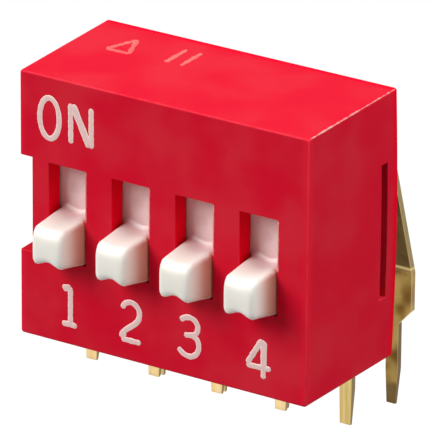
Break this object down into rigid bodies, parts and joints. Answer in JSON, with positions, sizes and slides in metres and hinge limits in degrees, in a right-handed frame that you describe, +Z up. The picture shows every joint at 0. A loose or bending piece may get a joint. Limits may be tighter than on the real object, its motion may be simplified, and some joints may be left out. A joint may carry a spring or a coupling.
{
  "type": "dip slide switch",
  "caption": "Side-actuated right-angle DIP switch: upright box housing with a row of slide knobs on its front and flat solder leads bent down for a circuit board.",
  "frame": {"origin": "on the board plane, below the middle of the front face (halfway between the second and third slider)", "axes": "+X along the row from slider 1 to slider 4, +Y from the front face into the switch, +Z up from the board, the way a slider moves to ON"},
  "size_m": [0.0118, 0.0103, 0.0133],
  "materials": {
    "cover": "satin moulded red plastic, faintly see-through at thin edges",
    "base": "satin moulded dark red plastic",
    "seal": "glossy dark amber potting resin",
    "slider": "satin white plastic",
    "contact": "gold-plated spring strip, satin",
    "lead": "gold-plated sheet, satin with dull edges"
  },
  "bodies": {
    "housing": {"cover": "cover", "base": "base", "seal": "seal", "upper_terminal_1": "lead", "upper_terminal_2": "lead", "upper_terminal_3": "lead", "upper_terminal_4": "lead", "lower_terminal_1": "lead", "lower_terminal_2": "lead", "lower_terminal_3": "lead", "lower_terminal_4": "lead", "front_pin_1": "lead", "front_pin_2": "lead", "front_pin_3": "lead", "front_pin_4": "lead"},
    "position_1": {"slider_1": "slider", "contact_1": "contact"},
    "position_2": {"slider_2": "slider", "contact_2": "contact"},
    "position_3": {"slider_3": "slider", "contact_3": "contact"},
    "position_4": {"slider_4": "slider", "contact_4": "contact"}
  },
  "joints": [
    {"name": "slide_1", "type": "slide", "parent": "housing", "child": "position_1", "axis": [0, 0, 1], "range_m": [0, 0.0016]},
    {"name": "slide_2", "type": "slide", "parent": "housing", "child": "position_2", "axis": [0, 0, 1], "range_m": [0, 0.0016]},
    {"name": "slide_3", "type": "slide", "parent": "housing", "child": "position_3", "axis": [0, 0, 1], "range_m": [0, 0.0016]},
    {"name": "slide_4", "type": "slide", "parent": "housing", "child": "position_4", "axis": [0, 0, 1], "range_m": [0, 0.0016]}
  ]
}
